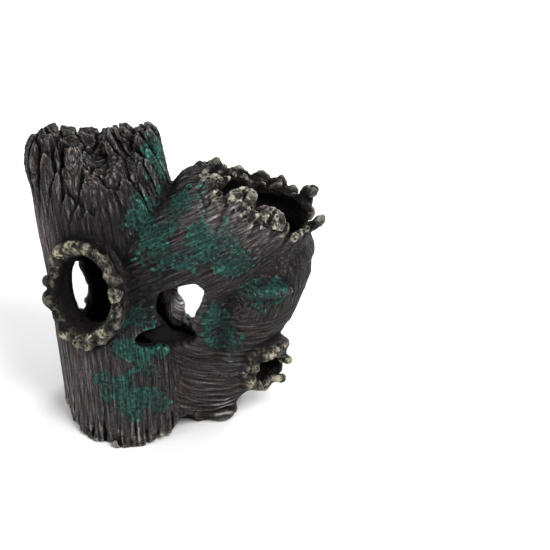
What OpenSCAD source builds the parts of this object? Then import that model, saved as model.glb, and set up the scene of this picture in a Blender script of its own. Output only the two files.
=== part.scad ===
// Hollow driftwood-stump cave for an aquarium: a broken trunk, a hollow log that leans out of it,
// and a flared root, with knot holes and windows that fish swim through.
// Front is -Y, up is +Z, and the floor that it stands on is Z = 0.

/* [Casting] */
// Thickness of the hollow casting's wall
wall = 7; // [5:0.5:8]
// Thickness of the floor inside the root
floor_t = 6; // [4:0.5:10]
// Number of flats round the outside of each limb
limb_sides = 40; // [24:4:48]
// Height of the joint line between the root and the limbs above it
seam_z = 50; // [46:1:54]

/* [Crown and mouth] */
// Mean height of the trunk's broken top
crown_z = 135; // [128:1:138]
// How far the crown's splinters stand above and below it
crown_jag = 4.5; // [1:0.5:6]
// Lean of the hollow log from upright
log_lean = 62; // [58:1:66]
// How far the lumps on the log's mouth stand out
mouth_jag = 3.5; // [1:0.5:5]

/* [Knot holes and windows] */
// Half width of the front knot hole
knot_a = 13; // [10:0.5:15]
// Half height of the front knot hole
knot_b = 17; // [12:0.5:19]
// Half width of the slot behind the front knot hole
rear_knot_a = 7; // [4:0.5:8]
// Half height of that slot
rear_knot_b = 17; // [8:0.5:18]
// Half width of the middle window in the front
window_a = 10; // [7:0.5:12]
// Half height of the middle window in the front
window_b = 11; // [8:0.5:13]
// Half width of the middle window in the rear
rear_window_a = 8; // [5:0.5:10]
// Half height of the middle window in the rear
rear_window_b = 14; // [6:0.5:15]
// Radius of the hole in the root stub
stub_r = 7; // [5:0.5:8]
// Thickness of the lumpy rim round each hole
rim_t = 5; // [3:0.5:6]

/* [Hidden] */

// Each limb is a list of rows: height along it, centre X and Y, half width, half depth.
trunk_rows = [[-3, -19, -3, 33, 41], [30, -20.5, 0, 34.5, 37], [60, -23, 3, 34.5, 33],
  [90, -27, 5, 33.5, 27], [118, -32, 7, 32, 20], [140, -33, 9, 30.5, 11]];
middle_rows = [[-3, 4, 6, 22, 26], [40, 7, 3, 24, 30], [84, 10, 3, 24, 29]];
side_rows = [[-3, 12, 5, 18, 25], [29, 25, 6, 19, 28], [48, 34, 6, 23, 29], [66, 38, 6, 25, 28],
  [90, 41, 2, 22, 22]];
log_rows = [[-10, 0, 0, 22, 24], [20, -1, 0, 26, 28], [50, -3, 1, 27, 27], [90, -8, 0, 22, 18]];
root_rows = [[-10, 0, 0, 22, 25], [20, 0, 0, 19, 22], [40, 0, -2, 14, 15], [50, 1, -4, 10, 10]];

log_foot = [-22, -4, 66];
root_foot = [-10, -8, 16];
root_lean = 78;
buried = -3; // where the upright limbs start, under the floor
reach = 200; // longer than the whole ornament, for cuts that pass right through
to_centre = [-2.06, 2.07, 0]; // brings the middle of the outline to the origin

// Tops of the limbs, and of the hollows in them
middle_top = 84;
root_tip = 50;
trunk_hollow_top = 112;
middle_hollow_top = 80;
side_hollow_top = 98;
log_hollow_low = 2;
root_hollow_tip = 40;

// The mouth is broken off on a slope: its height in the middle of the side limb and along the
// log, and how much it rises from there to the +X side and to the +Y side
mouth_z = 107;
mouth_slope = [-11.22, -2.42];
log_end = 76;
log_end_slope = [16.1, -2.28];

// Joint plane between trunk and log: X where it meets the seam, and X at the crotch
split_low_x = 6;
split_high_x = -2;
split_high_z = 121;

// Holes: centre on the outside, turn about Z from the front, and lift of the hole's axis
knot_at = [-38.5, -27, 74];
knot_turn = -30;
knot_lift = 8;
rear_knot_at = [-48, 25, 48];
rear_knot_turn = 212;
window_at = [4.5, -26, 65.5];
window_lift = 28;
rear_window_at = [6.5, 34, 34];
stub_at = [41.5, -14, 26];
stub_turn = 42;

moss_teal = "#2f6b5c";
bark_grey = "#5a5250";
bark_brown = "#4c4240";
rim_cream = "#9a917c";

// Uneven bark or lumps round a limb, between -1 and 1, with about count lumps in a turn
function ripple(q, z, count) =
  0.55 * sin(count * q + 3 * z) + 0.30 * sin((2 * count - 1) * q - 5 * z) + 0.15 * sin(5 * q + z);

// One value of a limb's rows at height z
function at_height(rows, column, z) = lookup(z, [for (r = rows) [r[0], r[column]]]);

// A point on a limb's skin, grown outwards by grow
function skin(rows, q, z, grow) = [
  at_height(rows, 1, z) + (at_height(rows, 3, z) + grow) * cos(q),
  at_height(rows, 2, z) + (at_height(rows, 4, z) + grow) * sin(q),
  z];

// Height of a limb's end at each side: a sloping plane with splinters on it
function broken_end(sides, mid, slope, jag, count) = [for (i = [0:sides - 1])
  let (q = 360 * i / sides)
  mid + slope.x * cos(q) + slope.y * sin(q) + jag * ripple(q, 11, count)];

// A flat end, at height z on every side
function flat_end(sides, z) = [for (i = [0:sides - 1]) z];

// One limb: rings of points between the low end and the high end, closed by a fan at each end
module limb(rows, low, high, grow = 0, rough = 0, count = 7, steps = 12) {
  n = len(low);
  rings = [for (j = [0:steps], i = [0:n - 1])
    let (q = 360 * i / n, z = low[i] + (high[i] - low[i]) * j / steps)
    skin(rows, q, z, grow + rough * ripple(q, z, count))];
  low_mid = [at_height(rows, 1, low[0]), at_height(rows, 2, low[0]), min(low)];
  high_z = min(high) + 0.4 * (max(high) - min(high));
  high_mid = [at_height(rows, 1, high_z), at_height(rows, 2, high_z), high_z];
  walls = [for (j = [0:steps - 1], i = [0:n - 1])
    let (a = j * n + i, b = j * n + (i + 1) % n)
    each [[a, a + n, b + n], [a, b + n, b]]];
  low_fan = [for (i = [0:n - 1]) [(steps + 1) * n, i, (i + 1) % n]];
  high_fan = [for (i = [0:n - 1]) [(steps + 1) * n + 1, steps * n + (i + 1) % n, steps * n + i]];
  polyhedron(concat(rings, [low_mid, high_mid]), concat(walls, low_fan, high_fan));
}

module along_log() {
  translate(log_foot) rotate([0, log_lean, 0]) children();
}

module along_root() {
  translate(root_foot) rotate([0, root_lean, 0]) children();
}

// Puts a hole's axis, which is +Z with Y upwards, through the outside of the casting
module at_hole(at, turn, lift = 0) {
  translate(at) rotate([90 - lift, 0, turn]) children();
}

// The outside of the whole ornament, before any hole
module outside() {
  n = limb_sides;
  foot = flat_end(n, buried);
  limb(trunk_rows, foot, broken_end(n, crown_z, [0, 0], crown_jag, 8), rough = 0.9, count = 9);
  along_log()
    limb(log_rows, flat_end(n, log_rows[0][0]), broken_end(n, log_end, log_end_slope, mouth_jag, 7),
      rough = 0.7);
  limb(middle_rows, foot, flat_end(n, middle_top), rough = 0.8, steps = 8);
  limb(side_rows, foot, broken_end(n, mouth_z, mouth_slope, mouth_jag, 6), rough = 0.8);
  along_root()
    limb(root_rows, flat_end(n, root_rows[0][0]), flat_end(n, root_tip), rough = 0.8, steps = 8);
}

// The hollow inside it, which runs out through the log's mouth
module inside() {
  n = 24;
  foot = flat_end(n, buried);
  intersection() {
    union() {
      limb(trunk_rows, foot, flat_end(n, trunk_hollow_top), grow = -wall, steps = 6);
      limb(middle_rows, foot, flat_end(n, middle_hollow_top), grow = -wall, steps = 4);
      limb(side_rows, foot, flat_end(n, side_hollow_top), grow = -wall, steps = 6);
      along_log()
        limb(log_rows, flat_end(n, log_hollow_low), flat_end(n, 130), grow = -wall, steps = 6);
      along_root()
        limb(root_rows, foot, flat_end(n, root_hollow_tip), grow = -wall, steps = 4);
    }
    translate([-reach, -reach, floor_t]) cube([2 * reach, 2 * reach, 2 * reach]);
  }
}

// An oval outline, as a polygon so that it can be cut exactly
module oval(a, b, sides = 28) {
  polygon([for (i = [0:sides - 1]) [a * cos(360 * i / sides), b * sin(360 * i / sides)]]);
}

// The cut for an oval hole, from well outside to depth below the surface
module hole(a, b, depth) {
  translate([0, 0, -depth]) linear_extrude(depth + 40) oval(a, b);
}

// The lumpy ring of broken wood round a hole, without its hole. It starts depth below the
// surface and stands out by lip, with its belly just below the lip.
module rim_plug(a, b, depth, lip, count) {
  outer_a = a + rim_t;
  outer_b = b + rim_t;
  rows = [[-depth, 0, 0, outer_a - 1, outer_b - 1], [lip - 4, 0, 0, outer_a, outer_b],
    [lip, 0, 0, outer_a - 2, outer_b - 2]];
  n = limb_sides;
  limb(rows, flat_end(n, -depth), broken_end(n, lip, [0, 0], 0.8, count),
    rough = 1.1, count = count, steps = 6);
}

module at_knot() {
  at_hole(knot_at, knot_turn, knot_lift) children();
}

module at_rear_knot() {
  at_hole(rear_knot_at, rear_knot_turn) children();
}

module at_rear_window() {
  at_hole(rear_window_at, 180) children();
}

module at_stub() {
  at_hole(stub_at, stub_turn) children();
}

module knot_plug() {
  at_knot() rim_plug(knot_a, knot_b, depth = 11, lip = 4, count = 11);
}

module rear_knot_plug() {
  at_rear_knot() rim_plug(rear_knot_a, rear_knot_b, depth = 9, lip = 1, count = 7);
}

module rear_window_plug() {
  at_rear_window() rim_plug(rear_window_a, rear_window_b, depth = 12, lip = 2, count = 9);
}

module stub_plug() {
  at_stub() rim_plug(stub_r, stub_r, depth = 12, lip = 5, count = 8);
}

// Every hole, as one cut
module holes() {
  at_knot() hole(knot_a, knot_b, depth = 20);
  at_rear_knot() hole(rear_knot_a, rear_knot_b, depth = 14);
  at_hole(window_at, 0, window_lift) hole(window_a, window_b, depth = 22);
  at_rear_window() hole(rear_window_a, rear_window_b, depth = 18);
  at_stub() hole(stub_r, stub_r, depth = 20);
}

// The casting's wall within a region of the XZ plane, without the rims that are set into it
module shell(region) {
  translate(to_centre) difference() {
    outside();
    inside();
    holes();
    knot_plug();
    rear_knot_plug();
    rear_window_plug();
    stub_plug();
    rotate([90, 0, 0]) translate([0, 0, -reach]) linear_extrude(2 * reach) difference() {
      square(4 * reach, center = true);
      polygon(region);
    }
  }
}

// A rim, drilled out of its plug
module rim() {
  translate(to_centre) difference() {
    children();
    holes();
  }
}

module root_base() {
  color(bark_brown)
    shell([[-reach, 0], [reach, 0], [reach, seam_z], [-reach, seam_z]]);
}

module upright_trunk() {
  color(bark_grey)
    shell([[-reach, seam_z], [split_low_x, seam_z], [split_high_x, split_high_z],
      [split_high_x, reach], [-reach, reach]]);
}

module leaning_log() {
  color(moss_teal)
    shell([[reach, seam_z], [reach, reach], [split_high_x, reach], [split_high_x, split_high_z],
      [split_low_x, seam_z]]);
}

module front_knot_rim() {
  color(rim_cream) rim() knot_plug();
}

module rear_knot_rim() {
  color(rim_cream) rim() rear_knot_plug();
}

module rear_window_rim() {
  color(rim_cream) rim() rear_window_plug();
}

module root_stub_rim() {
  color(rim_cream) rim() stub_plug();
}

root_base();
upright_trunk();
leaning_log();
front_knot_rim();
rear_knot_rim();
rear_window_rim();
root_stub_rim();
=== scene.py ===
"""Looks of the driftwood-stump cave: one resin casting, painted and dry-brushed.

The whole casting is one signed-distance form, in millimetres, built from the same limbs as the CAD
model. It is meshed once, its wood grain, lumps, pits and moss are pushed into the mesh, and it is cut
into one closed piece for each CAD node. Relief and patches are kept on the mesh as attributes, which
the paint follows.
"""

import math
from itertools import product

import bmesh
import bpy
import numpy as np
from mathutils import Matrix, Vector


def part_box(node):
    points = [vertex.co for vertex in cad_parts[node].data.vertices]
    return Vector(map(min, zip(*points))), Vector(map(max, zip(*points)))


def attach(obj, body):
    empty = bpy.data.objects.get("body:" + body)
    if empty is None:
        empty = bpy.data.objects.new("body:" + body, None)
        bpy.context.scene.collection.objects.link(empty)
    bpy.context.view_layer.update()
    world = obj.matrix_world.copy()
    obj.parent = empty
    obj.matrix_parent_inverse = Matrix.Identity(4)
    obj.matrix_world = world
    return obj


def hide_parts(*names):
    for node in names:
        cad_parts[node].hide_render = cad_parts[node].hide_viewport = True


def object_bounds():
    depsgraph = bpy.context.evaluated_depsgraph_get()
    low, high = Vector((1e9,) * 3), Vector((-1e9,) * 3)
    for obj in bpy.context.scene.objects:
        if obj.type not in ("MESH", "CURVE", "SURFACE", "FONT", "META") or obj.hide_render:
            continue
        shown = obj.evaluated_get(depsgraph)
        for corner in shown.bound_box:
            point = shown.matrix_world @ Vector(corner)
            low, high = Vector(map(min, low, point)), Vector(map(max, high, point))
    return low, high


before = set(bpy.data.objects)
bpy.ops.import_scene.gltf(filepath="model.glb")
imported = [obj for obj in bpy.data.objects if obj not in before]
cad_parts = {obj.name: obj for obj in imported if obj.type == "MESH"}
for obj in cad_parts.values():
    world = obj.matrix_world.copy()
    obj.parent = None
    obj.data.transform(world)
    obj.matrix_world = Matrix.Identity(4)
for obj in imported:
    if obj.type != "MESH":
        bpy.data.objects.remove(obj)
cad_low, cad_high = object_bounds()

import openvdb
from mathutils import Vector

MM = 0.001
PITCH = 0.67  # cell of the grid that the form is meshed on
WALL = 7.0
FLOOR = 6.0
SEAM_Z = 50.0

GRID_LOW, GRID_HIGH = (-74, -52, -4), (76, 46, 148)  # the box that the form is made in

# Limbs, holes and lumps have the places that the CAD model gives them before it is centred on the
# origin, when the middle of its foot is at LIMBS_MIDDLE
LIMBS_MIDDLE = (2.06, -2.07, 0.0)
CAD_FOOT = (np.array(cad_low) * (0.5, 0.5, 1) + np.array(cad_high) * (0.5, 0.5, 0)) / MM
TO_FRAME = CAD_FOOT - LIMBS_MIDDLE

# Each limb is a list of rows: height along it, centre X and Y, half width, half depth.
TRUNK = [(-3, -19, -3, 33, 41), (30, -20.5, 0, 34.5, 37), (60, -23, 3, 34.5, 33),
         (90, -27, 5, 33.5, 27), (118, -32, 7, 32, 20), (140, -33, 9, 30.5, 12)]
MIDDLE = [(-3, 4, 6, 22, 26), (40, 7, 3, 24, 30), (84, 10, 3, 24, 29)]
SIDE = [(-3, 12, 5, 18, 25), (29, 25, 6, 19, 28), (48, 34, 6, 23, 29), (66, 38, 6, 25, 28),
        (90, 41, 2, 22, 22), (130, 41, 2, 22, 22)]
LOG = [(-10, 0, 0, 22, 24), (20, -1, 0, 26, 28), (50, -3, 1, 27, 27), (90, -8, 0, 22, 18),
       (130, -8, 0, 22, 18)]
ROOT = [(-10, 0, 0, 22, 25), (20, 0, 0, 19, 22), (40, 0, -2, 14, 15), (50, 1, -4, 10, 10)]
LOG_FOOT, LOG_LEAN = (-22.0, -4.0, 66.0), 62.0
ROOT_FOOT, ROOT_LEAN = (-10.0, -8.0, 16.0), 78.0
LOG_LOW = -10.0
ROOT_ENDS = (-10.0, 50.0)
MIDDLE_TOP = 84.0

# Ends of the limbs' hollows, along each limb
TRUNK_CAVITY_TOP = 112.0
MIDDLE_CAVITY_TOP = 80.0
SIDE_CAVITY_TOP = 98.0
LOG_CAVITY_LOW = 2.0
ROOT_CAVITY = (-3.0, 40.0)

# The crown's broken edge: its height at places along X
CROWN_X = [-64, -60, -56, -51, -46, -42, -37, -32, -28, -24, -20, -17, -13, -9, -5, -2, 2]
CROWN_Z = [131, 134, 137, 137, 134, 134, 132, 131, 131, 136, 135, 133, 136, 138, 136, 129, 119]

# The mouth of the log: a plane, and how far its lip stands above it round the mouth, in degrees
MOUTH_AT, MOUTH_NORMAL = (40.0, 0.0, 107.0), (0.45, 0.10, 0.88)
LIP_TURN = [-180, -158, -140, -119, -100, -81, -60, -38, -24, -10, 4, 18, 34, 50, 67, 84, 102, 116,
            130, 142, 158, 174, 180]
LIP_RISE = [4, -1, -1, 4, 0, 8, 4, 5, 2, 3, 0, 1, 0, 1, 5, 0, 5, -1, 3, 7, 0, 5, 4]


def rim_hole(node, facing, proud, a, b):
    """A hole whose rim is a CAD node: proud of the middle of the rim's box, a wide and b high each way."""
    low, high = (np.array(corner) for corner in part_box(node))
    at = (low + high) / 2 / MM - TO_FRAME + proud * np.array(facing)
    return dict(at=at, facing=facing, a=a, b=b)


# Holes: centre, the way the hole faces, half width and half height. The mouth's sizes are in its lumps.
KNOT = rim_hole("front_knot_rim", (-0.495, -0.858, 0.139), 3.8, 13.0, 17.0)
REAR_KNOT = rim_hole("rear_knot_rim", (-0.53, 0.848, 0.0), 4.1, 7.0, 17.0)
REAR_WINDOW = rim_hole("rear_window_rim", (0.0, 1.0, 0.0), 4.6, 8.0, 14.0)
STUB = rim_hole("root_stub_rim", (0.669, -0.743, 0.0), 3.5, 7.0, 7.0)
WINDOW = dict(at=(6.0, -26.0, 65.5), facing=(0.0, -0.883, 0.469), a=12.5, b=13.0)
MOUTH = dict(at=MOUTH_AT, facing=MOUTH_NORMAL, a=1.0, b=1.0)

# Places that the grain follows: the tip of the fanned root, the smooth top of the log, and X and Z of
# the middle that the right wall's grain circles
FAN_END = (22.0, -22.0, 10.0)
LOG_TOP = (30.0, -20.0, 112.0)
WALL_MIDDLE = (28, 66)

# Lumps round each hole: turn in degrees from its right side, how many times the hole's own size they
# are from its middle, their radius, and how far they stand out
KNOT_LUMPS = [(128, 1.36, 3.9, 1.6), (112, 1.3, 2.5, 1.6), (99, 1.3, 2.7, 1.6), (84, 1.35, 2.5, 1.6),
              (66, 1.45, 3, 1.2), (54, 1.38, 2.9, 1.6), (42, 1.4, 3, 1.6), (29, 1.45, 2.9, 1.2),
              (13, 1.36, 3.9, 2), (-9, 1.4, 3, 1.6), (-22, 1.52, 2.7, 0.8), (-38, 1.3, 3.2, 1.6),
              (-52, 1.4, 2.7, 1.2), (-76, 1.42, 2.9, 2), (-92, 1.4, 2.7, 1.6), (-117, 1.42, 3.4, 1.2),
              (-136, 1.34, 3, 1.2), (-162, 1.36, 3.5, 0.8), (178, 1.4, 3.5, 0.8), (152, 1.4, 3.5, 0.8)]
REAR_KNOT_LUMPS = [(20, 1.4, 2.8, 1.0), (75, 1.2, 3.2, 1.4), (115, 1.2, 2.6, 0.8), (165, 1.4, 3.0, 1.0),
                   (-140, 1.3, 2.8, 1.2), (-95, 1.2, 3.4, 1.4), (-50, 1.3, 2.8, 0.8)]
REAR_WINDOW_LUMPS = [(0, 1.4, 3.0, 1.0), (50, 1.3, 3.2, 1.2), (100, 1.2, 3.6, 1.4), (150, 1.3, 3.0, 0.8),
                     (-160, 1.4, 3.2, 1.0), (-110, 1.2, 3.4, 1.2), (-60, 1.3, 3.0, 1.0)]
STUB_LUMPS = [(67, 1.70, 5.4, 3.5), (95, 1.45, 4.6, 1.5), (126, 1.35, 4.4, 1.0), (158, 1.30, 3.6, 1.0),
              (-160, 1.50, 3.6, 1.5), (-125, 1.40, 3.4, 0.6), (-96, 1.45, 3.0, 1.0), (-62, 1.25, 2.8, 3.0),
              (-55, 1.40, 2.2, 6.0), (16, 1.05, 2.8, 4.5), (20, 1.20, 2.2, 7.5), (42, 1.35, 3.4, 2.5)]
MOUTH_LUMPS = [(62, 30, 2.8, -1.0), (67, 24, 3.0, 5.0), (52, 26, 2.2, 1.0), (40, 23, 2.4, 0.5),
               (18, 20.6, 2.4, 1.5), (4, 20.6, 2.0, 1.0), (-10, 20.7, 2.4, 3.0), (-25, 20.5, 2.0, 2.5),
               (-38, 20.3, 2.8, 5.0), (-60, 20, 2.4, 4.5), (-81, 20.5, 3.6, 8.5), (-81, 22.6, 4.0, 10.6),
               (-100, 23, 2.4, 2.0), (-119, 25, 3.2, 4.5), (-118, 26.6, 3.3, 6.6), (-116, 23, 2.8, -3.0),
               (84, 24, 2.8, -1.5), (116, 22, 2.4, -1.0), (158, 21.5, 2.4, -1.0)]
LIP_LOBES = [(-140, 22, 3.0, -1.0), (-166, 22, 4.0, 0.0), (-176, 22, 4.2, 1.5), (174, 21.5, 5.2, 2.5),
             (142, 20.4, 4.6, 5.5), (130, 21.5, 5.0, 1.0), (102, 22, 4.0, 3.0)]

# Each hole that has a rim: its piece and CAD node, its lumps, how far its collar reaches out and in and
# how thick it is, how deep the hole goes and how much it widens outwards, how far out and down its paint
# is pale, and how wide and deep its piece is cut out of the casting
HOLES = [
    dict(piece="knot_lumps", node="front_knot_rim", hole=KNOT, lumps=KNOT_LUMPS,
         collar=(2.5, -9, 7.0), depth=20, flare=0.22, pale=(9, 3), plug=(9.5, 11)),
    dict(piece="rear_knot_lumps", node="rear_knot_rim", hole=REAR_KNOT, lumps=REAR_KNOT_LUMPS,
         collar=(1, -8, 4.0), depth=14, flare=0, pale=(6, 3), plug=(6, 9)),
    dict(piece="rear_window_lumps", node="rear_window_rim", hole=REAR_WINDOW, lumps=REAR_WINDOW_LUMPS,
         collar=(1, -11, 4.5), depth=18, flare=0, pale=(6, 4), plug=(6, 12)),
    dict(piece="stub_lumps", node="root_stub_rim", hole=STUB, lumps=STUB_LUMPS,
         collar=(2.5, -11, 5.0), depth=20, flare=0, pale=(9, 6), plug=(9, 12))]

# The bark pieces: piece, CAD node and outline in the XZ plane, which meets the others' on the seam and
# on the split between trunk and log
BEYOND, BELOW, ABOVE = 120, -9, 160
SPLIT_LOW, SPLIT_HIGH = (6, SEAM_Z), (-2, 121)
BARK_PIECES = [
    ("root_bark", "root_base", [(-BEYOND, BELOW), (BEYOND, BELOW), (BEYOND, SEAM_Z), (-BEYOND, SEAM_Z)]),
    ("trunk_bark", "upright_trunk", [(-BEYOND, SEAM_Z), SPLIT_LOW, SPLIT_HIGH, (SPLIT_HIGH[0], ABOVE),
                                     (-BEYOND, ABOVE)]),
    ("log_bark", "leaning_log", [SPLIT_LOW, (BEYOND, SEAM_Z), (BEYOND, ABOVE), (SPLIT_HIGH[0], ABOVE),
                                 SPLIT_HIGH])]

# Other lumps, and dents, of the casting, and lumps on the inside of its walls: centre and half sizes
LUMPS = [((-10, 7, 134), (6, 7, 7)), ((-59, 4, 126), (5.5, 9, 12)), ((-52, 4, 128), (6, 7, 11)),
         ((-26, 6, 133), (4, 5, 7)), ((-42, -5, 128), (4, 4, 9)), ((45, -20, 71), (10, 4, 3)),
         ((12, 4, 112), (10, 11, 8)), ((21, -19, 5), (8, 6, 5)), ((57, 0, 81), (8, 12, 6))]
DENTS = [((-11, -36, 61), (9, 6.5, 8)), ((-8, -27, 50.5), (9, 8, 4.5)), ((2, -24, 50), (9, 8, 5)),
         ((5, -29, 0), (7, 8, 8)), ((3, -42, 0), (6, 7, 8)), ((66, -2, 92), (6, 12, 4))]
INNER_LUMPS = [((-6, 24, 45), (4, 6, 8)), ((-0.5, 24, 32), (4.5, 6, 9)), ((-4, -18, 50), (13, 6, 8)),
               ((-41, 26.2, 57.3), (5, 5, 9)), ((-46, 23.7, 66), (6, 5, 5)),
               ((-50.4, 18.8, 37), (3.5, 4, 6)), ((-38.7, 26.1, 46.8), (4, 5, 9))]

# Patches of moss: centre and reach
MOSS = [((-4, -24, 98), 11), ((16, -28, 101), 11), ((-12, -15, 107), 9), ((7, -12, 112), 9),
        ((28, -28, 91), 8), ((41, -24, 72), 9), ((50, -19, 71), 6), ((20, -26, 58), 8),
        ((24, -24, 45), 8), ((-18, -34, 47), 8), ((-14, -35, 40), 6), ((-6, -31, 46), 5),
        ((-26, -38, 31), 8), ((-18, -40, 24), 8), ((-8, -38, 21), 6), ((-4, 0, 127), 8),
        ((-30, 32, 70), 12), ((-12, 34, 52), 11), ((34, 34, 62), 11), ((20, 33, 88), 10),
        ((-48, 26, 96), 8), ((14, 32, 20), 9), ((52, 24, 40), 8), ((-13, -32, 62), 7)]

# Patches where the colour is lighter, above 1, or darker than the rest: centre, reach and tone
# Some are the paint's own tone. The dark patches between the knot and the window and in the recess under
# the window are painted shade, and the very bright patch on the rear window's jamb is painted light
TONE_AND_LIGHT_PATCHES = [((-45, -20, 25), 25, 3.0), ((-15, -38, 12), 20, 1.6), ((20, -30, 30), 20, 1.3),
         ((-62, -2, 90), 15, 5.0), ((-30, -24, 102), 22, 0.5), ((-10, -30, 72), 12, 0.18),
         ((-36, -10, 128), 14, 1.7), ((22, -22, 112), 15, 4.2), ((40, -24, 104), 12, 3.4),
         ((45, -22, 88), 14, 0.9), ((60, -5, 85), 10, 0.9), ((-5, -30, 86), 9, 0.4),
         ((-4, -25, 50), 9, 0.04), ((0, 20, 36), 8, 40), ((-57, -18, 72), 13, 0.15),
         ((-52, -26, 62), 11, 0.1), ((20, 12, 120), 11, 0.45), ((0, 34, 60), 40, 1.2)]

# The names of everything that the mesh keeps for its paint, painted shade and painted light among them
PAINT = ("fine", "broad", "openness", "moss", "pale", "inside_shade", "tone_and_light", "grain", "known")

rng = np.random.default_rng(11)


# ---------------------------------------------------------------------------------------------- small maths

def smin(a, b, k):
    """Smooth union of two distances, blended over k."""
    h = np.clip(0.5 + 0.5 * (b - a) / k, 0, 1)
    return b + (a - b) * h - k * h * (1 - h)


def smax(a, b, k):
    """Smooth intersection of two distances."""
    return -smin(-a, -b, k)


def step(low, high, value):
    """0 below low, 1 above high, smooth between. Falls instead where low is above high."""
    t = np.clip((value - low) / (high - low), 0, 1)
    return t * t * (3 - 2 * t)


# Random values at the points of a lattice that repeats after REPEAT points
REPEAT = 64
TABLES = rng.uniform(-1, 1, (3, REPEAT ** 3)).astype(np.float32)


def slot_of(x, y, z):
    """Where the random tables keep the values of a lattice point."""
    return (x % REPEAT * REPEAT + y % REPEAT) * REPEAT + z % REPEAT


def noise(x, y, z):
    """Smooth noise, about -1 to 1, with one lump to a unit."""
    cell = [np.floor(c).astype(np.int32) for c in (x, y, z)]
    part = [c - i for c, i in zip((x, y, z), cell)]
    part = [(t * t * (3 - 2 * t)).astype(np.float32) for t in part]
    total = np.zeros(np.broadcast(*part).shape, np.float32)
    for corner in product((0, 1), repeat=3):
        share = [t if side else 1 - t for t, side in zip(part, corner)]
        at = slot_of(*(i + side for i, side in zip(cell, corner)))
        total += share[0] * share[1] * share[2] * TABLES[0][at]
    return total * 1.4


def jumble(x, y, z):
    """Distances to the nearest and the second nearest of scattered points, one to a unit cube."""
    scatter = 0.42
    cell = [np.floor(c).astype(np.int32) for c in (x, y, z)]
    first = np.full(x.shape, 9.0, np.float32)
    second = first.copy()
    for offset in product((-1, 0, 1), repeat=3):
        beside = [i + o for i, o in zip(cell, offset)]
        at = slot_of(*beside)
        d = sum((b + 0.5 + scatter * table[at] - c) ** 2
                for b, table, c in zip(beside, TABLES, (x, y, z)))
        second = np.minimum(second, np.maximum(first, d))
        first = np.minimum(first, d)
    return np.sqrt(first), np.sqrt(second)


def axes_of(facing):
    """A hole's own axes: sideways, up, and out of it."""
    out = np.array(facing, float)
    out /= np.linalg.norm(out)
    side = np.cross((0, 0, 1.0), out)
    side /= np.linalg.norm(side)
    return side, np.cross(out, side), out


def local(p, at, facing):
    """Points p along a hole's own axes, from its centre."""
    q = [p[i] - at[i] for i in range(3)]
    return [sum(q[i] * axis[i] for i in range(3)) for axis in axes_of(facing)]


# ---------------------------------------------------------------------------------------------- the form

def along(p, foot, lean):
    """Points p in a limb's own frame, whose Z leans towards +X."""
    c, s = math.cos(math.radians(lean)), math.sin(math.radians(lean))
    x, y, z = p[0] - foot[0], p[1] - foot[1], p[2] - foot[2]
    return x * c - z * s, y, x * s + z * c


def tube(q, rows, grow=0.0):
    """Distance to an endless elliptical limb through its rows."""
    column = np.array(rows, float).T
    cx, cy, a, b = (np.interp(q[2], column[0], column[i]).astype(np.float32) for i in range(1, 5))
    a, b = a + grow, b + grow
    return (np.sqrt(((q[0] - cx) / a) ** 2 + ((q[1] - cy) / b) ** 2) - 1) * np.minimum(a, b)


def between(z, low, high):
    """Distance to the slab between two heights."""
    return np.maximum(low - z, z - high)


def mouth_cut(p):
    """Distance above the mouth's broken lip."""
    side, up, out = local(p, MOUTH_AT, MOUTH_NORMAL)
    turn = np.degrees(np.arctan2(up, side))
    return out - np.interp(turn, LIP_TURN, LIP_RISE).astype(np.float32)


def limbs(p):
    """Distances to the trunk, the middle, the side, the log and the root, without their ends."""
    log_at, root_at = along(p, LOG_FOOT, LOG_LEAN), along(p, ROOT_FOOT, ROOT_LEAN)
    return dict(trunk=tube(p, TRUNK), side=tube(p, SIDE),
                middle=smax(tube(p, MIDDLE), p[2] - MIDDLE_TOP, 6),
                log=smax(tube(log_at, LOG), LOG_LOW - log_at[2], 8),
                root=smax(tube(root_at, ROOT), between(root_at[2], *ROOT_ENDS), 6))


def outside(p, rough):
    """The casting as if it were solid."""
    limb = limbs(p)
    crown = np.interp(p[0], CROWN_X, CROWN_Z).astype(np.float32) + 1.2 * rough
    crown = crown - 0.45 * np.maximum(15 - p[1], 0)  # lower towards the front
    trunk = smax(limb["trunk"], (p[2] - crown) * 0.9, 3.0)
    arm = smax(smin(limb["log"], limb["side"], 9), mouth_cut(p) - 0.8 * rough, 2.0)
    return smin(smin(smin(trunk, limb["middle"], 7), arm, 3), limb["root"], 8)


def cavity(p):
    """The hollow inside the casting, whose wall is thinner towards the mouth."""
    log_at, root_at = along(p, LOG_FOOT, LOG_LEAN), along(p, ROOT_FOOT, ROOT_LEAN)
    trunk = smax(tube(p, TRUNK, -WALL), p[2] - TRUNK_CAVITY_TOP, 6)
    middle = smax(tube(p, MIDDLE, -WALL), p[2] - MIDDLE_CAVITY_TOP, 6)
    log_wall = WALL - 1.5 - 2 * step(66, 84, log_at[2])
    side_wall = WALL - 1.0 - step(85, 98, p[2])
    log = smax(tube(log_at, LOG, -log_wall), LOG_CAVITY_LOW - log_at[2], 6)
    side = smax(tube(p, SIDE, -side_wall), p[2] - SIDE_CAVITY_TOP, 6)
    root = smax(tube(root_at, ROOT, -WALL), between(root_at[2], *ROOT_CAVITY), 4)
    hollow = smin(smin(smin(trunk, middle, 6), smin(log, side, 8), 6), root, 5)
    return smax(hollow, FLOOR - p[2], 3)


def tunnel(p, hole, depth, flare):
    """Distance to an oval hole, from outside to depth below the surface, widening outwards by flare."""
    side, up, out = local(p, hole["at"], hole["facing"])
    grow = flare * np.clip(out + 6, 0, 10)
    a, b = hole["a"] + grow, hole["b"] + grow
    oval = (np.sqrt((side / a) ** 2 + (up / b) ** 2) - 1) * hole["a"]
    return smax(oval, -out - depth, 2)


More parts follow.
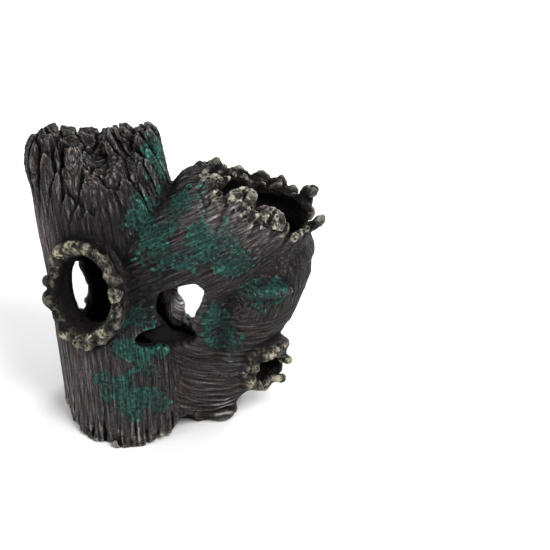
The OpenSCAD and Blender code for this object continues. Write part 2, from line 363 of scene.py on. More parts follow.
def window_tunnel(p):
    """The middle window's front opening: an oval with a straight top and a straight right side."""
    side, up, out = local(p, WINDOW["at"], WINDOW["facing"])
    oval = (np.sqrt((side / WINDOW["a"]) ** 2 + (up / WINDOW["b"]) ** 2) - 1) * WINDOW["a"]
    top = 0.97 * up - 0.24 * side - 10.2
    right = 0.92 * side - 0.40 * up - 6.0
    return smax(smax(smax(oval, top, 1.0), right, 0.6), -out - 22, 3)


def collar(p, hole, out_to, in_to, thick):
    """A plain ring of wood round a hole, before its lumps."""
    side, up, out = local(p, hole["at"], hole["facing"])
    a, b = hole["a"] + thick / 2, hole["b"] + thick / 2
    ring = (np.sqrt((side / a) ** 2 + (up / b) ** 2) - 1) * min(a, b)
    return smax(np.abs(ring) - thick / 2, between(out, in_to, out_to), 2.5)


class Grid:
    """A box of cells with a distance in each, in millimetres."""

    def __init__(self, low, high):
        self.low = np.array(low, float)
        count = np.ceil((np.array(high) - self.low) / PITCH).astype(int) + 1
        ticks = [(self.low[i] + PITCH * np.arange(count[i])).astype(np.float32) for i in range(3)]
        self.p = [ticks[0][:, None, None], ticks[1][None, :, None], ticks[2][None, None, :]]
        self.ticks, self.count = ticks, count
        self.d = np.full(count, 99, np.float32)

    def lattice(self, cell):
        """Smooth noise over the whole grid, about -1 to 1, with lumps this big along X, Y and Z."""
        lumps_at = []
        for tick, size in zip(self.ticks, cell):
            u = (tick - tick[0]) / size + 1
            base = np.floor(u).astype(int)
            f = u - base
            w = np.zeros((len(tick), int(base.max()) + 3), np.float32)
            spline = ((1 - f) ** 3, 3 * f ** 3 - 6 * f ** 2 + 4, 3 * (f + f * f - f ** 3) + 1, f ** 3)
            for k in range(4):
                w[np.arange(len(tick)), base - 1 + k] = spline[k] / 6
            lumps_at.append(w)
        field = rng.uniform(-1, 1, [w.shape[1] for w in lumps_at]).astype(np.float32)
        for w in lumps_at:
            field = np.tensordot(field, w, axes=(0, 1))
        return field * 2.4

    def lump(self, centre, radii, blend, carve=False):
        """Adds an oval lump to the form, or carves one out of it."""
        reach = max(radii) + 3 * blend
        block = tuple(slice(*np.searchsorted(self.ticks[i], (centre[i] - reach, centre[i] + reach)))
                      for i in range(3))
        p = [self.ticks[0][block[0]][:, None, None], self.ticks[1][block[1]][None, :, None],
             self.ticks[2][block[2]][None, None, :]]
        oval = (np.sqrt(sum(((p[i] - centre[i]) / radii[i]) ** 2 for i in range(3))) - 1) * min(radii)
        before = self.d[block]
        self.d[block] = smax(before, -oval, blend) if carve else smin(before, oval, blend)

    def band(self, reach, low, high):
        """The cells near the surface between two heights: their places in the grid and their points."""
        a, b = np.searchsorted(self.ticks[2], (low, high))
        i, j, k = np.nonzero(np.abs(self.d[:, :, a:b]) < reach)
        k = k + a
        return (i, j, k), np.array([self.ticks[0][i], self.ticks[1][j], self.ticks[2][k]])

    def sample(self, p):
        """The distance at points p, between the cells."""
        u = [np.clip((p[i] - self.low[i]) / PITCH, 0, self.count[i] - 1.001) for i in range(3)]
        cell = [c.astype(np.int32) for c in u]
        part = [(c - i).astype(np.float32) for c, i in zip(u, cell)]
        total = 0
        for corner in product((0, 1), repeat=3):
            share = [t if side else 1 - t for t, side in zip(part, corner)]
            at = tuple(i + side for i, side in zip(cell, corner))
            total = total + share[0] * share[1] * share[2] * self.d[at]
        return total


def lumps_round(grid, hole, lumps, blend, tail=1):
    """Uneven lumps of broken wood round a hole, each drawn out down the log over a tail of smaller ones."""
    side, up, out = axes_of(hole["facing"])
    lean = math.radians(LOG_LEAN)
    down = np.array([-math.sin(lean), 0, -math.cos(lean)])
    for turn, times, size, stand in lumps:
        c, s = math.cos(math.radians(turn)), math.sin(math.radians(turn))
        at = np.array(hole["at"]) + side * c * hole["a"] * times
        at = at + up * s * hole["b"] * times + out * stand
        uneven = rng.uniform(0.75, 1.3, 3)
        for i in range(tail):
            grid.lump(at + down * 0.9 * size * i, size * (1 - 0.12 * i) * uneven, blend)


UPRIGHT = 400  # folds of this length run from foot to crown


def folds(p, size, length, deep, narrow=0.2):
    """Thick folds of broken wood with clefts between them; returns how far they stand out."""
    first, second = jumble(p[0] / size, p[1] / size, np.floor(p[2] / length) + 0.5)
    cleft = 1 - step(0.0, narrow, second - first)
    return 0.3 * deep * (0.9 - 2 * first) - deep * cleft


def add_crown_folds(grid):
    """Folds of the crown, which slant down to the right on its right half."""
    at, p = grid.band(6, 96, 148)
    right = step(-36, -20, p[0])
    wave = 1.3 * noise(p[0] / 9, p[1] / 9, p[2] / 30)
    q = [p[0] - 0.45 * right * (135 - p[2]) + wave, p[1] + wave, p[2]]
    small = folds([c + 40 for c in q], 4.0, UPRIGHT, 1.2, 0.25)
    stand = folds(q, 8.0, UPRIGHT, 2.6, 0.18) + (0.2 + 0.5 * right) * small
    fade = step(102, 120, p[2] + 6 * noise(p[0] / 5, p[1] / 5, p[2] / 20))
    fade = fade * step(4, -6, p[0] - 0.3 * (p[2] - 130)) * (0.3 + 0.7 * step(-66, -54, p[0]))
    grid.d[at] -= (stand * fade).astype(np.float32)


def add_foot_folds(grid):
    """The splintered foot."""
    at, p = grid.band(5, -4, 20)
    stand = folds(p, 6.0, UPRIGHT, 2.2)
    fade = step(17, 3, p[2] + 5 * noise(p[0] / 5, p[1] / 5, p[2] / 9)) * step(-0.5, 1.5, p[2])
    fade = fade * (1 - step(5, 12, p[0]) * step(0, -8, p[1]))
    grid.d[at] -= (stand * fade).astype(np.float32)


def add_lip_folds(grid):
    """Shallow clefts that run into the mouth's lip, along the log."""
    at, p = grid.band(5, 80, 148)
    side, up, out = local(p, MOUTH_AT, MOUTH_NORMAL)
    fade = step(14, 2, np.abs(mouth_cut(p))) * step(4, 14, p[0])
    stand = folds([side, up, out], 7.0, 22, 1.1)
    grid.d[at] -= (stand * fade).astype(np.float32)


def add_rims(grid, p):
    """The collars and lumps round the holes and the mouth; p is the grid's points, slightly warped."""
    for made in HOLES:
        grid.d = smin(grid.d, collar(p, made["hole"], *made["collar"]), 2.0)
        lumps_round(grid, made["hole"], made["lumps"], blend=2.0)
    lumps_round(grid, MOUTH, MOUTH_LUMPS, blend=2.0)
    lumps_round(grid, MOUTH, LIP_LOBES, blend=3.0, tail=5)


def hollow_out(grid, warp, rough):
    """Takes the cavity, the holes and the dents out of the form, and adds the lumps inside it."""
    x, y, z = grid.p
    bumpy = [x + 0.6 * rough, y + 0.6 * rough[::-1], z]
    grid.d = smax(grid.d, -(cavity([x, y, z]) + 0.8 * warp), 2.0)
    for made in HOLES:
        grid.d = smax(grid.d, -tunnel(bumpy, made["hole"], made["depth"], made["flare"]), 1.6)
    for centre, radii in INNER_LUMPS:
        grid.lump(centre, radii, 3)
    grid.d = smax(grid.d, -window_tunnel(bumpy), 2.5)
    for centre, radii in DENTS:
        grid.lump(centre, radii, 2, carve=True)


def trim_foot(grid):
    """Cuts the foot off on the floor, with hollows between the toes that it stands on."""
    toes = 3.4 * np.clip(grid.lattice((5, 5, 60)), 0, 1)
    grid.d = smax(grid.d, toes - grid.p[2], 0.8)


def build_form():
    """Fills a grid with the whole casting."""
    grid = Grid(GRID_LOW, GRID_HIGH)
    x, y, z = grid.p
    warp = grid.lattice((16, 16, 26))
    flutes = grid.lattice((5, 5, 40))
    rough = grid.lattice((3.2, 3.2, 7))
    p = [x + 0.9 * warp, y + 0.9 * warp[::-1], z]
    grid.d = outside(p, rough) + 0.4 * flutes
    add_rims(grid, p)
    for centre, radii in LUMPS:
        grid.lump(centre, radii, 3)
    add_crown_folds(grid)
    add_foot_folds(grid)
    add_lip_folds(grid)
    hollow_out(grid, warp, rough)
    trim_foot(grid)
    return grid


def mesh_of(grid):
    """The form's surface as points, in millimetres, and quads."""
    far = 4 * PITCH  # only the distances near the surface matter
    vdb = openvdb.FloatGrid(2 * far)
    vdb.copyFromArray(np.clip(grid.d, -far, far))
    points, quads = vdb.convertToQuads(0.0)
    return without_crumbs(points.astype(np.float64) * PITCH + grid.low, quads)


def parts_of(count, groups):
    """The connected part that each of count points is in. Each row of groups is points that are joined."""
    label, before = np.arange(count), None
    while before is None or (label != before).any():
        before = label.copy()
        np.minimum.at(label, groups.ravel(), np.repeat(before[groups].min(axis=1), groups.shape[1]))
        label = label[label]
    return label


def without_crumbs(points, quads):
    """Only the biggest connected part of a mesh."""
    label = parts_of(len(points), quads)
    keep = label == np.bincount(label).argmax()
    new_place = np.cumsum(keep) - 1
    return points[keep], new_place[quads[keep[quads[:, 0]]]]


# ---------------------------------------------------------------------------------------------- fine relief

def normals_of(points, quads):
    """Unit normals at the points."""
    a, b, c, d = (points[quads[:, i]] for i in range(4))
    flat = np.cross(c - a, d - b)
    total = np.zeros_like(points)
    for axis in range(3):
        total[:, axis] = np.bincount(quads.ravel(), np.repeat(flat[:, axis], 4), len(points))
    return total / np.maximum(np.linalg.norm(total, axis=1, keepdims=True), 1e-9)


def smoothed(values, quads, times):
    """Values at the points, averaged with their neighbours that many times."""
    count = np.bincount(quads.ravel(), minlength=len(values))
    for _ in range(times):
        flat = values[quads].mean(axis=1)
        values = np.stack([np.bincount(quads.ravel(), np.repeat(flat[:, i], 4), len(values))
                           for i in range(values.shape[1])], axis=1) / count[:, None]
    return values


def grain_fields(p):
    """Each limb's grain as coordinates: two across the wood's fibres and one along them."""
    rows = np.array(TRUNK, float).T
    cx, cy, a, b = (np.interp(p[2], rows[0], rows[i]) for i in range(1, 5))
    bend = (p[0] - 6) / 6
    fan = p[2] + 7.2 * (bend - np.logaddexp(0, bend))  # level on the right, rising to the left
    wall = np.hypot(p[0] - WALL_MIDDLE[0], p[2] - WALL_MIDDLE[1])
    wall_turn = 30 * np.arctan2(p[2] - WALL_MIDDLE[1], p[0] - WALL_MIDDLE[0])
    return dict(trunk=((p[0] - cx) / a * 34, (p[1] - cy) / b * 32, p[2]),
                log=along(p, LOG_FOOT, LOG_LEAN),
                fan=(fan, p[1] / 10, p[0]),
                wall=(wall, p[1], wall_turn))


def grain_shares(p):
    """How much of each grain there is at points p; the shares add up to 1."""
    limb = limbs(p)
    low = step(62, 48, p[2])
    root = np.exp(-np.minimum(limb["root"], limb["middle"]) / 2.0)
    side = np.exp(-limb["side"] / 2.0)
    share = dict(trunk=np.exp(-limb["trunk"] / 2.0), log=np.exp(-limb["log"] / 2.0),
                 fan=root + low * side, wall=(1 - low) * side)
    total = sum(share.values())
    return {name: value / total for name, value in share.items()}


def fibres(q, seed):
    """Wood grain at grain coordinates q: fine ridges with a few deeper cracks."""
    a, b, c = (v + seed for v in q)
    wave = 0.8 * noise(a / 7, b / 7, c / 16)
    a, b = a + wave, b + wave
    fine = 0.6 * noise(a / 1.2, b / 1.2, c / 18) + 0.4 * noise(a / 0.75, b / 0.75, c / 10)
    crack = 1 - step(0.0, 0.15, np.abs(noise(a / 3.0, b / 3.0, c / 34)))
    return fine - 0.9 * crack


def patches(p, spots, ragged):
    """How far inside any of the round spots points p are, 0 to 1, with ragged edges."""
    depth = np.full(p.shape[1], -9.0, np.float32)
    for centre, reach in spots:
        away = np.sqrt(sum((p[i] - centre[i]) ** 2 for i in range(3)))
        depth = np.maximum(depth, 1 - away / reach)
    return step(-0.10, 0.22, depth + ragged)


def near(p, centre, reach):
    """1 at the centre, falling to 0 beyond the reach."""
    return np.exp(-2 * sum((p[i] - centre[i]) ** 2 for i in range(3)) / reach ** 2)


def tone_and_painted_light(p):
    """Paint tone and painted light and shade at p: 1 away from all patches, near a patch's tone inside it.
    """
    total, weight = 1.0, 1.0
    for centre, reach, tone_and_light in TONE_AND_LIGHT_PATCHES:
        share = 4 * near(p, centre, reach)
        total, weight = total + share * tone_and_light, weight + share
    return total / weight


def crust(p):
    """Pitted, worm-like relief of moss and weathered rims."""
    worm = 1 - 2.4 * np.abs(noise(*(p / 1.5)))
    pit = 1 - step(0.12, 0.30, jumble(*(p / 2.2))[0])
    return 0.6 * worm + 0.35 * noise(*(p + 5)), pit


def ring_of(p, hole):
    """How far points p are beyond a hole's edge, and how far out of its surface."""
    side, up, out = local(p, hole["at"], hole["facing"])
    return (np.sqrt((side / hole["a"]) ** 2 + (up / hole["b"]) ** 2) - 1) * hole["a"], out


def weathering(p):
    """How pale and lumpy points p are, 0 to 1: the mouth's lip, the holes' rims and part of the foot."""
    pale = step(7, 2, np.abs(mouth_cut(p)) + 2 * noise(*(p / 4))) * step(6, 16, p[0])
    for made in HOLES:
        ring, out = ring_of(p, made["hole"])
        wide, deep = made["pale"]
        pale = np.maximum(pale, step(wide, wide - 3, ring) * step(-deep - 2, -deep, out))
    return np.maximum(pale, 0.4 * step(11, 4, p[2] + 5 * noise(*(p / 7))))


def inside(p):
    """Painted shade at points p, 0 to 1: the cavity and the holes' walls, not the rear window's jamb."""
    # The rear window's jamb, which light reaches through the window, gets no painted shade
    jamb = step(0.8, 1.2, np.hypot((p[0] - 1) / 8, (p[1] - 23) / 9))
    dark = step(-2.5, -5.5, outside(p, 0)) * jamb
    for hole in (KNOT, STUB, REAR_KNOT):
        ring, out = ring_of(p, hole)
        dark = np.maximum(dark, step(3.4, 1.6, ring) * step(4, 1, out) * step(-30, -20, out))
    return dark


def facing_in(p, normal):
    """Painted shade on the mouth's lip: 1 where it faces the hollow, 0 where it faces out."""
    side, up, out = local(p, MOUTH_AT, MOUTH_NORMAL)
    side_axis, up_axis, out_axis = axes_of(MOUTH_NORMAL)
    away = np.hypot(side, up)
    spread = (side * (normal @ side_axis) + up * (normal @ up_axis)) / away
    crest = np.maximum(normal @ out_axis, 0)
    dark = step(0.1, -0.4, spread + 0.5 * crest ** 2) * step(4.5, 1.0, mouth_cut(p))
    return dark * step(-11, -8, out) * step(36, 32, away)


def chosen_grain(fields, shares):
    """Grain coordinates of the limb that has the largest share at each point, squeezed along the fibres."""
    order = list(fields)
    best = np.argmax([shares[name] for name in order], axis=0)
    stacked = np.array([np.array(fields[name]) for name in order])
    return stacked[best, :, np.arange(len(best))] * (1, 1, 0.08)


def relief(p, grain, fan, moss, pale, inside_shade):
    """How far fibres, crust, pits, lumps and the root's splinters push the surface out at points p."""
    worm, pit = crust(p)
    deep = 0.38 - 0.16 * near(p, LOG_TOP, 16)
    push = deep * grain * (1 - 0.7 * np.maximum(moss, pale)) * (1 - 0.6 * inside_shade)
    push = push + worm * (0.22 * moss + 0.28 * pale) + 0.3 * moss - 0.6 * pit * np.maximum(0.4 * moss, pale)
    push = push + (0.7 + 1.1 * near(p, STUB["at"], 12)) * pale * noise(*(p / 4.0 + 3))
    return push + 0.9 * near(p, FAN_END, 14) * np.sin(1.7 * fan + 2 * noise(*(p / 8)))


def openness_of(points, normal, grid):
    """How open the space over the points is, from 0 in a deep groove to 1, for painted shade."""
    open_to = [grid.sample((points + normal * reach).T) / reach for reach in (2.0, 5.0, 10.0)]
    return np.clip(sum(open_to) / 3, 0, 1)


def weather(points, quads, grid):
    """Pushes the relief into the points; returns the new points and what the paint follows."""
    p = points.T.astype(np.float32)
    normal = normals_of(points, quads)
    fields, shares = grain_fields(p), grain_shares(p)
    grain = sum(shares[name] * fibres(fields[name], seed)
                for name, seed in (("trunk", 0), ("log", 31), ("fan", 57), ("wall", 83)))
    ragged = 0.45 * noise(*(p / 5)) + 0.35 * noise(*(p / 1.9 + 9))
    moss, pale = patches(p, MOSS, ragged), weathering(p)
    inside_shade = np.maximum(inside(p), facing_in(p, normal))
    push = relief(p, grain, fields["fan"][0], moss, pale, inside_shade)
    moved = points + normal * push[:, None]
    moved[:, 2] = np.maximum(moved[:, 2], 0)
    fine = ((moved - smoothed(moved, quads, 4)) * normal).sum(axis=1)
    broad = ((moved - smoothed(moved, quads, 30)) * normal).sum(axis=1)
    paint = dict(fine=fine, broad=broad, openness=openness_of(points, normal, grid), moss=moss,
                 pale=pale, inside_shade=inside_shade, tone_and_light=tone_and_painted_light(p), grain=chosen_grain(fields, shares),
                 known=np.ones(len(points)))
    return moved, paint


# ---------------------------------------------------------------------------------------------- paint

# The paint's height, from the bottom of a groove to the top of a ridge, and its colour there
WOOD_COLOURS = [(0.10, (0.003, 0.003, 0.003)), (0.42, (0.016, 0.014, 0.015)),
                (0.70, (0.050, 0.046, 0.048)), (1.0, (0.18, 0.17, 0.17))]
MOSS_COLOURS = [(0.10, (0.004, 0.012, 0.011)), (0.42, (0.010, 0.036, 0.030)),
                (0.70, (0.020, 0.088, 0.068)), (1.0, (0.09, 0.27, 0.21))]
BROWN_TINT = (1.14, 0.95, 0.85)
# Painted shade: the nearly black colour of the cavity, the holes' walls and the lip's inner side
INSIDE_SHADE_COLOUR = (0.006, 0.005, 0.005)
BARK_CREAM, RIM_CREAM = (0.30, 0.28, 0.22), (0.34, 0.31, 0.23)


class Graph:
    """A material's nodes, made one expression at a time."""

    def __init__(self, name):
        self.material = bpy.data.materials.new(name)
        self.material.use_nodes = True
        self.nodes = self.material.node_tree.nodes
        self.links = self.material.node_tree.links
        self.shader = self.nodes["Principled BSDF"]

    def put(self, value, socket):
        """Links a socket, or sets it to a plain value."""
        if isinstance(value, bpy.types.NodeSocket):
            self.links.new(value, socket)
        else:
            socket.default_value = value

    def attribute(self, name, output="Fac"):
        """What the mesh keeps under this name."""
        node = self.nodes.new("ShaderNodeAttribute")
        node.attribute_name = name
        return node.outputs[output]

    def math(self, operation, *values, clamp=False):
        """The result of a math operation."""
        node = self.nodes.new("ShaderNodeMath")
        node.operation = operation
        node.use_clamp = clamp
        for value, socket in zip(values, node.inputs):
            self.put(value, socket)
        return node.outputs[0]

    def step(self, low, high, value):
        """0 below low, 1 above high, smooth between."""
        node = self.nodes.new("ShaderNodeMapRange")
        node.interpolation_type = "SMOOTHSTEP"
        self.put(value, node.inputs["Value"])
        self.put(low, node.inputs["From Min"])
        self.put(high, node.inputs["From Max"])
        return node.outputs["Result"]

    def noise(self, vector, scale, detail=2.0, roughness=0.6):
        """Noise, 0 to 1."""
        node = self.nodes.new("ShaderNodeTexNoise")
        self.put(vector, node.inputs["Vector"])
        node.inputs["Scale"].default_value = scale
        node.inputs["Detail"].default_value = detail
        node.inputs["Roughness"].default_value = roughness
        return node.outputs["Fac"]

    def ramp(self, value, stops):
        """A colour for each value, through stops of place and colour."""
        node = self.nodes.new("ShaderNodeValToRGB")
        self.put(value, node.inputs["Fac"])
        while len(node.color_ramp.elements) < len(stops):
            node.color_ramp.elements.new(0.5)
        for element, (place, colour) in zip(node.color_ramp.elements, stops):
            element.position = place
            element.color = (*colour, 1)
        return node.outputs["Color"]

    def mix(self, share, first, second, blend="MIX"):
        """The first colour with a share of the second."""
        node = self.nodes.new("ShaderNodeMix")
        node.data_type = "RGBA"
        node.blend_type = blend
        self.put(share, node.inputs["Factor"])
        colours = [socket for socket in node.inputs if socket.type == "RGBA"]
        for value, socket in zip((first, second), colours):
            self.put(value if isinstance(value, bpy.types.NodeSocket) else (*value, 1), socket)
        return [socket for socket in node.outputs if socket.type == "RGBA"][0]

    def scale(self, colour, value):
        """A colour times a number."""
        node = self.nodes.new("ShaderNodeVectorMath")
        node.operation = "SCALE"
        self.put(colour, node.inputs[0])
        self.put(value, node.inputs["Scale"])
        return node.outputs[0]


def wood(g, height, blots, tone_and_light):
    """Dark wash in the grooves, mauve grey wood and lighter ridges, with browner blots."""
    colour = g.ramp(height, WOOD_COLOURS)
    colour = g.mix(g.step(0.45, 0.7, blots), colour, BROWN_TINT, "MULTIPLY")
    return g.scale(colour, tone_and_light)


def brushed(g, cream, fine, broad, specks, blots, tone_and_light):
    """Lumps that are dry-brushed with cream, and worn in blots."""
    fine_knob = g.math("MULTIPLY_ADD", fine, 1.0, -0.03)
    knob = g.math("MULTIPLY_ADD", specks, 0.8, fine_knob)
    knob = g.math("MULTIPLY_ADD", broad, 0.30, knob, clamp=True)
    colour = g.ramp(knob, [(0.20, (0.006, 0.006, 0.005)), (0.50, (0.028, 0.026, 0.021)),
                           (0.78, tuple(0.36 * c for c in cream)), (1.0, tuple(1.2 * c for c in cream))])
    worn = g.math("MULTIPLY_ADD", g.step(0.38, 0.62, blots), 0.85, 0.3)
    return g.scale(colour, g.math("MULTIPLY", worn, g.math("MINIMUM", tone_and_light, 1.2)))


def mossed(g, colour, height, blots, moss):
    """A colour with teal moss over it, thick on the ridges and in blots."""
    teal = g.ramp(height, MOSS_COLOURS)
    thick = g.math("MULTIPLY_ADD", height, 0.4, g.math("MULTIPLY_ADD", blots, 2.2, -0.9))
    share = g.math("MULTIPLY", moss, g.math("MULTIPLY_ADD", g.step(0.0, 0.7, thick), 0.55, 0.38))
    return g.mix(share, g.scale(colour, g.math("MULTIPLY_ADD", moss, -0.45, 1.0)), teal)


def with_painted_shade(g, colour, broad):
    """Painted shade on a colour: darker in hollows and between lumps, nearly black inside the casting."""
    # Painted shade where the space over the surface is closed, and in broad hollows
    hollow_shade = g.math("MULTIPLY_ADD", g.step(0.15, 0.85, g.attribute("openness")), 0.75, 0.25)
    hollow_shade = g.math("MULTIPLY", hollow_shade, g.math("MULTIPLY_ADD", g.step(-1.3, 0.1, broad), 0.8, 0.2))
    inside_shade = g.math("MULTIPLY", g.attribute("inside_shade"), 0.9)
    return g.mix(inside_shade, g.scale(colour, hollow_shade), INSIDE_SHADE_COLOUR)


def add_bump(g, specks, streaks):
    """Relief that is too fine for the mesh."""
    bump = g.nodes.new("ShaderNodeBump")
    bump.inputs["Strength"].default_value = 0.9
    bump.inputs["Distance"].default_value = 0.0006
    g.put(g.math("MULTIPLY_ADD", specks, 0.4, g.math("MULTIPLY", streaks, 1.2)), bump.inputs["Height"])
    g.put(bump.outputs["Normal"], g.shader.inputs["Normal"])


def painted(name, cream):
    """The paint of the whole casting, with its lumps brushed in this cream."""
    g = Graph(name)
    place = g.nodes.new("ShaderNodeTexCoord").outputs["Object"]
    streaks = g.noise(g.attribute("grain", "Vector"), 1.3, 3.0, 0.7)
    specks = g.noise(place, 1100, 3.0, 0.7)
    blots = g.noise(place, 110)
    # The tone attribute holds the paint's own tone and, in a few patches, painted light and painted shade
    fine, broad, tone_and_light = g.attribute("fine"), g.attribute("broad"), g.attribute("tone_and_light")
    ridges = g.math("MULTIPLY_ADD", fine, 1.2, g.math("MULTIPLY_ADD", streaks, 1.5, -0.35))
    height = g.math("ADD", ridges, g.math("MULTIPLY_ADD", specks, 0.5, -0.25), clamp=True)
    pale = g.math("MULTIPLY", g.attribute("pale"), 0.9)
    lumpy = brushed(g, cream, fine, broad, specks, blots, tone_and_light)
    colour = g.mix(pale, wood(g, height, blots, tone_and_light), lumpy)
    colour = mossed(g, colour, height, blots, g.attribute("moss"))
    g.put(with_painted_shade(g, colour, broad), g.shader.inputs["Base Color"])
    g.put(g.math("MULTIPLY_ADD", specks, 0.3, 0.52), g.shader.inputs["Roughness"])
    g.shader.inputs["Specular IOR Level"].default_value = 0.12
    add_bump(g, specks, streaks)
    return g.material


# ---------------------------------------------------------------------------------------------- pieces

SLIVER = 1000  # a loose part with fewer points than this is a sliver
PROUDEST = 12  # no lump round a hole stands out further than this
THROUGH = 90  # cutters reach this far to the front and back


def mesh_object(name, points, faces):
    """A Blender object from points in millimetres, moved to the frame's own place."""
    mesh = bpy.data.meshes.new(name)
    mesh.from_pydata(((points + TO_FRAME) * MM).tolist(), [], faces)
    mesh.update()
    made = bpy.data.objects.new(name, mesh)
    bpy.context.scene.collection.objects.link(made)
    return made


def tube_between(low_ring, high_ring):
    """Points and faces of a closed tube between two rings of as many points."""
    count = len(low_ring)
    sides = [(i, (i + 1) % count, count + (i + 1) % count, count + i) for i in range(count)]
    ends = [tuple(range(count))[::-1], tuple(range(count, 2 * count))]
    return np.array([*low_ring, *high_ring], float), sides + ends


def region(outline):
    """A cutter: an outline in the XZ plane, drawn through the whole ornament along Y."""
    front, back = ([(x, y, z) for x, z in outline] for y in (-THROUGH, THROUGH))
    return mesh_object("cutter", *tube_between(front, back))


def plug(hole, wide, deep):
    """A cutter: an oval drum round a hole, wide beyond its edge and deep below the surface."""
    side, up, out = axes_of(hole["facing"])
    turns = [math.radians(q) for q in range(0, 360, 5)]
    rings = [[np.array(hole["at"]) + side * math.cos(t) * (hole["a"] + wide)
              + up * math.sin(t) * (hole["b"] + wide) + out * level for t in turns]
             for level in (-deep, PROUDEST)]
    return mesh_object("cutter", *tube_between(*rings))


def cut(made, name, cutter, operation):
    """A new object: made cut by the cutter, whose own faces carry the second material."""
    copy = made.copy()
    bpy.context.scene.collection.objects.link(copy)
    modifier = copy.modifiers.new("cut", "BOOLEAN")
    modifier.solver = "MANIFOLD"
    modifier.operation = operation
    modifier.object = cutter
    modifier.material_mode = "TRANSFER"
    depsgraph = bpy.context.evaluated_depsgraph_get()
    mesh = bpy.data.meshes.new_from_object(copy.evaluated_get(depsgraph))
    copy.modifiers.clear()
    copy.data = mesh
    copy.name = name
    mesh.name = name
    fill_paint(mesh)
    return copy


def fill_paint(mesh):
    """Gives the new points along a cut the paint of the old points that they are joined to."""
    count = len(mesh.vertices)
    known = np.zeros(count, np.float32)
    mesh.attributes["known"].data.foreach_get("value", known)
    pairs = np.zeros(2 * len(mesh.edges), np.int32)
    mesh.edges.foreach_get("vertices", pairs)
    pairs = pairs.reshape(-1, 2)
    pairs = np.concatenate([pairs, pairs[:, ::-1]])  # each edge both ways: a point and its neighbour
    pairs = pairs[(known[pairs[:, 0]] == 0) & (known[pairs[:, 1]] == 1)]
    joins = np.bincount(pairs[:, 0], minlength=count)
    new = joins > 0
    for layer in mesh.attributes:
        if layer.domain != "POINT" or layer.name not in PAINT:
            continue
        key, width = ("vector", 3) if layer.data_type == "FLOAT_VECTOR" else ("value", 1)
        value = np.zeros(count * width, np.float32)
        layer.data.foreach_get(key, value)
        value = value.reshape(count, width)
        for i in range(width):
            total = np.bincount(pairs[:, 0], value[pairs[:, 1], i], minlength=count)
            value[new, i] = total[new] / joins[new]
        layer.data.foreach_set(key, value.ravel())


def drop_slivers(mesh):
    """Removes the loose slivers that cutting leaves beside a piece."""
    pairs = np.zeros(2 * len(mesh.edges), np.int32)
    mesh.edges.foreach_get("vertices", pairs)
    label = parts_of(len(mesh.vertices), pairs.reshape(-1, 2))
    loose = np.flatnonzero(np.bincount(label)[label] < SLIVER)
    if len(loose):
        work = bmesh.new()
        work.from_mesh(mesh)
        work.verts.ensure_lookup_table()
        bmesh.ops.delete(work, geom=[work.verts[i] for i in loose], context="VERTS")
        work.to_mesh(mesh)
        work.free()


def finish_piece(made, paint, node):
    """Gives a piece its paint, flat cut faces, and its place in the frame."""
    mesh = made.data
    drop_slivers(mesh)
    index = np.zeros(len(mesh.polygons), np.int32)
    mesh.polygons.foreach_get("material_index", index)
    mesh.polygons.foreach_set("use_smooth", index == 0)
    mesh.materials.clear()
    mesh.materials.append(paint)
    mesh.polygons.foreach_set("material_index", np.zeros_like(index))
    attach(made, "root")
    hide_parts(node)


def whole_casting():
    """The whole casting as one painted mesh."""
    grid = build_form()
    points, quads = mesh_of(grid)
    points, paint = weather(points, quads, grid)
    whole = mesh_object("casting", points, quads.tolist())
    for key, value in paint.items():
        vector = value.ndim == 2
        layer = whole.data.attributes.new(key, "FLOAT_VECTOR" if vector else "FLOAT", "POINT")
        layer.data.foreach_set("vector" if vector else "value", value.astype(np.float32).ravel())
    return whole


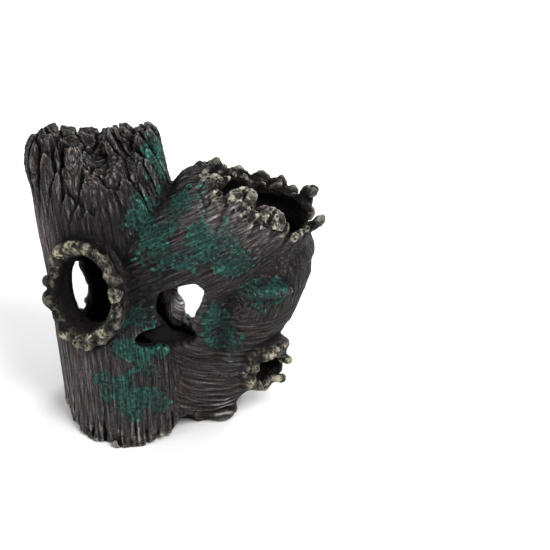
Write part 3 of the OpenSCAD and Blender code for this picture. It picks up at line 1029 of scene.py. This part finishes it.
def build_pieces():
    """Cuts the casting into one piece for each CAD node."""
    bark = painted("bark_paint", BARK_CREAM)
    rim = painted("rim_paint", RIM_CREAM)
    body = whole_casting()
    body.data.materials.append(bark)
    cut_face = bpy.data.materials.new("cut_face")
    scraps = []
    for made in HOLES:
        cutter = plug(made["hole"], *made["plug"])
        cutter.data.materials.append(cut_face)
        finish_piece(cut(body, made["piece"], cutter, "INTERSECT"), rim, made["node"])
        rest = cut(body, "rest", cutter, "DIFFERENCE")
        scraps += [body, cutter]
        body = rest
    for piece, node, outline in BARK_PIECES:
        cutter = region(outline)
        cutter.data.materials.append(cut_face)
        finish_piece(cut(body, piece, cutter, "INTERSECT"), bark, node)
        scraps.append(cutter)
    for scrap in scraps + [body]:
        bpy.data.objects.remove(scrap)


build_pieces()


# ---------------------------------------------------------------------------------------------- studio

def add_camera(aim, elevation, distance, seen_width):
    """Looks from the front and above at a point, where the picture is seen_width wide."""
    lift = math.radians(elevation)
    data = bpy.data.cameras.new("camera")
    data.sensor_width = 36
    data.lens = data.sensor_width * distance / seen_width
    camera = bpy.data.objects.new("camera", data)
    camera.location = Vector(aim) + Vector((0, -math.cos(lift), math.sin(lift))) * distance
    camera.rotation_euler = (math.pi / 2 - lift, 0, 0)
    bpy.context.scene.collection.objects.link(camera)
    bpy.context.scene.camera = camera


def area_light(name, at, target, size, power):
    """A soft round light that faces the target."""
    data = bpy.data.lights.new(name, "AREA")
    data.shape = "DISK"
    data.size = size
    data.energy = power
    lamp = bpy.data.objects.new(name, data)
    lamp.location = at
    lamp.rotation_euler = (Vector(target) - Vector(at)).to_track_quat("-Z", "Y").to_euler()
    bpy.context.scene.collection.objects.link(lamp)


def add_world(strength):
    """Even white light from all round."""
    world = bpy.data.worlds.new("studio")
    world.use_nodes = True
    background = world.node_tree.nodes["Background"]
    background.inputs["Color"].default_value = (1, 1, 1, 1)
    background.inputs["Strength"].default_value = strength
    bpy.context.scene.world = world


# The camera aims to the right of the ornament, which stands at the left of the picture
add_camera(aim=(0.0449, 0.0021, 0.0667), elevation=32, distance=0.9, seen_width=0.253)
area_light("key", (0.5, -0.6, 1.0), (0, 0, 0.06), size=0.6, power=14)
area_light("fill", (-0.9, -0.5, 0.5), (0, 0, 0.06), size=0.8, power=5)
area_light("back", (0.3, 0.7, 0.3), (0, 0.03, 0.035), size=0.4, power=7)
add_world(strength=0.6)
bpy.context.scene.view_settings.view_transform = "Standard"

bpy.ops.mesh.primitive_plane_add(size=6)
floor = bpy.context.object
floor.name = "floor"
